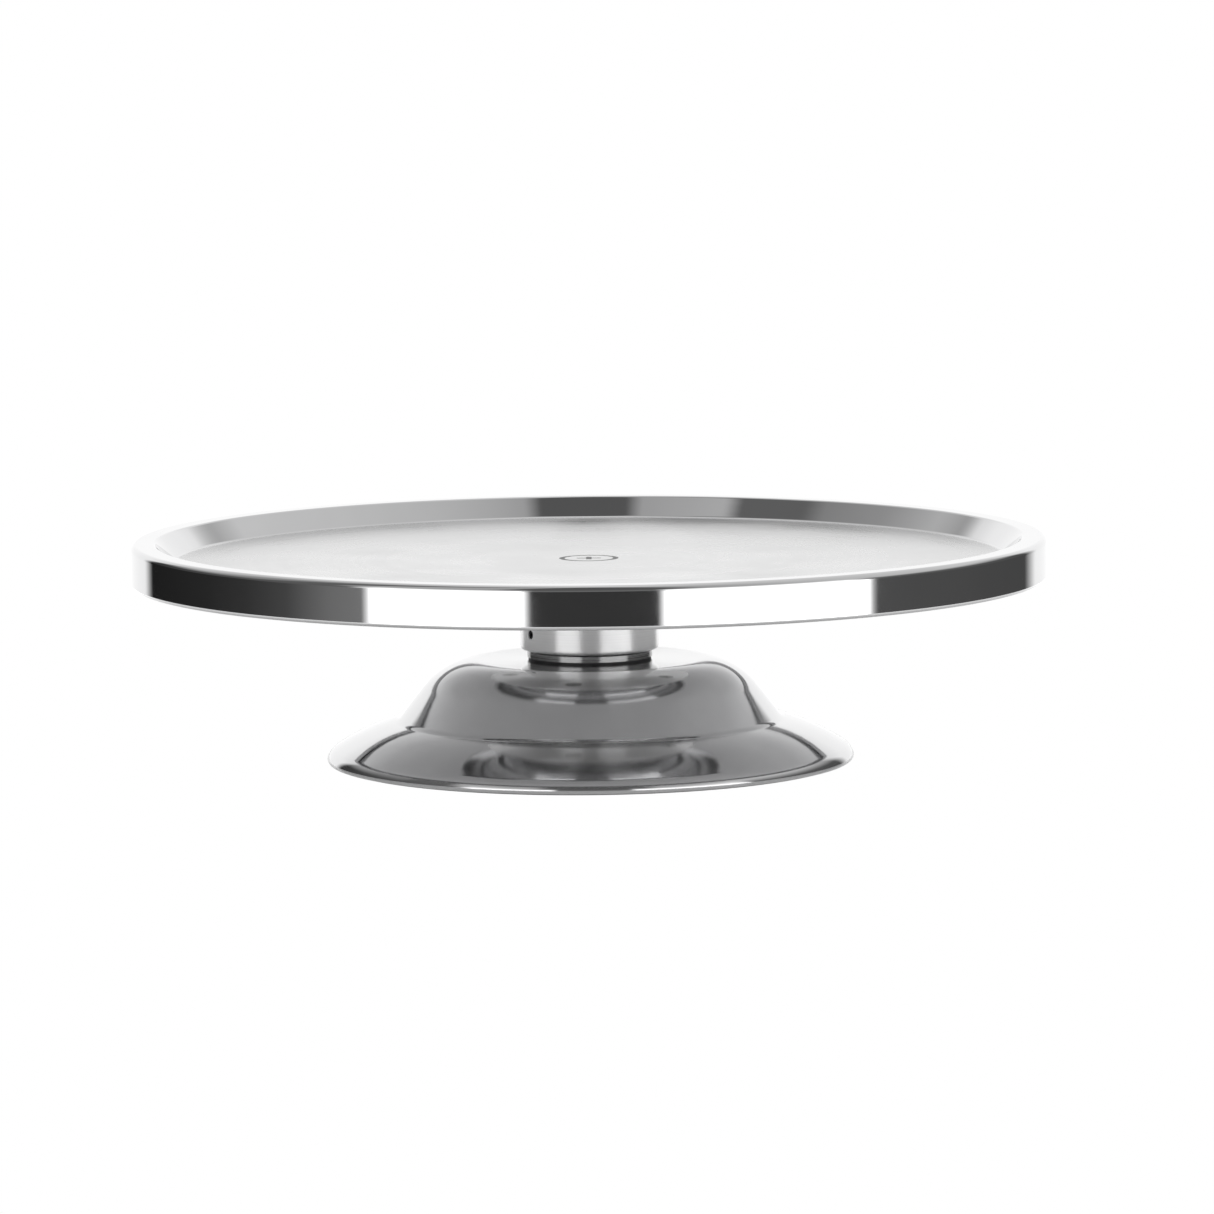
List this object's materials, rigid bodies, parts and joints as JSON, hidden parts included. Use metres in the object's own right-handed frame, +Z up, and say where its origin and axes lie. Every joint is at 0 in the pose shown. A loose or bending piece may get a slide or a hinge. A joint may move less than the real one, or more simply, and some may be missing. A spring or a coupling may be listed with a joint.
{
  "type": "cake turntable",
  "caption": "Round revolving cake stand in polished steel: shallow rimmed plate with an upright band, short hub on ball bearings, low bell-shaped base.",
  "frame": {"origin": "centre of the footprint, on the table top that the rubber foot ring stands on", "axes": "+Z up along the axis of rotation; -Y towards the front; +X to the right"},
  "size_m": [0.305, 0.305, 0.075],
  "materials": {
    "polished_stainless": "mirror-polished stainless steel, satin inside the well",
    "plain_steel": "satin",
    "black_steel": "black oxide, satin",
    "bearing_steel": "ground and polished",
    "nylon": "matte",
    "black_rubber": "matte"
  },
  "bodies": {
    "base": {"base_shell": "polished_stainless", "bearing_post": "polished_stainless", "foot_gasket": "black_rubber", "base_reinforcing_disc": "plain_steel", "locating_pin": "plain_steel", "post_washer": "plain_steel", "spring_washer": "black_steel", "post_nut": "plain_steel", "foot_ring": "black_rubber", "lower_bearing_inner_ring": "bearing_steel", "inner_spacer": "plain_steel", "upper_bearing_inner_ring": "bearing_steel", "post_circlip": "black_steel"},
    "turntable": {"top_plate": "polished_stainless", "plate_bosses": "plain_steel", "hub_disc": "polished_stainless", "hub_screws": "plain_steel", "hub_sleeve": "polished_stainless", "grub_screws": "black_steel", "dust_seal": "black_rubber", "lower_bearing_outer_ring": "bearing_steel", "lower_bearing_shields": "bearing_steel", "outer_spacer": "plain_steel", "upper_bearing_outer_ring": "bearing_steel", "upper_bearing_shields": "bearing_steel"},
    "lower_cage": {"lower_ball_cage": "nylon", "lower_balls": "bearing_steel"},
    "upper_cage": {"upper_ball_cage": "nylon", "upper_balls": "bearing_steel"}
  },
  "joints": [
    {"name": "turntable_spin", "type": "hinge", "parent": "base", "child": "turntable", "pos_m": [0, 0, 0.05], "axis": [0, 0, 1], "continuous": true},
    {"name": "lower_cage_spin", "type": "hinge", "parent": "base", "child": "lower_cage", "pos_m": [0, 0, 0.05], "axis": [0, 0, 1], "continuous": true},
    {"name": "upper_cage_spin", "type": "hinge", "parent": "base", "child": "upper_cage", "pos_m": [0, 0, 0.05], "axis": [0, 0, 1], "continuous": true}
  ],
  "couplings": [
    {"joint": "lower_cage_spin", "follows": "turntable_spin", "ratio": 0.61905},
    {"joint": "upper_cage_spin", "follows": "turntable_spin", "ratio": 0.61905}
  ]
}
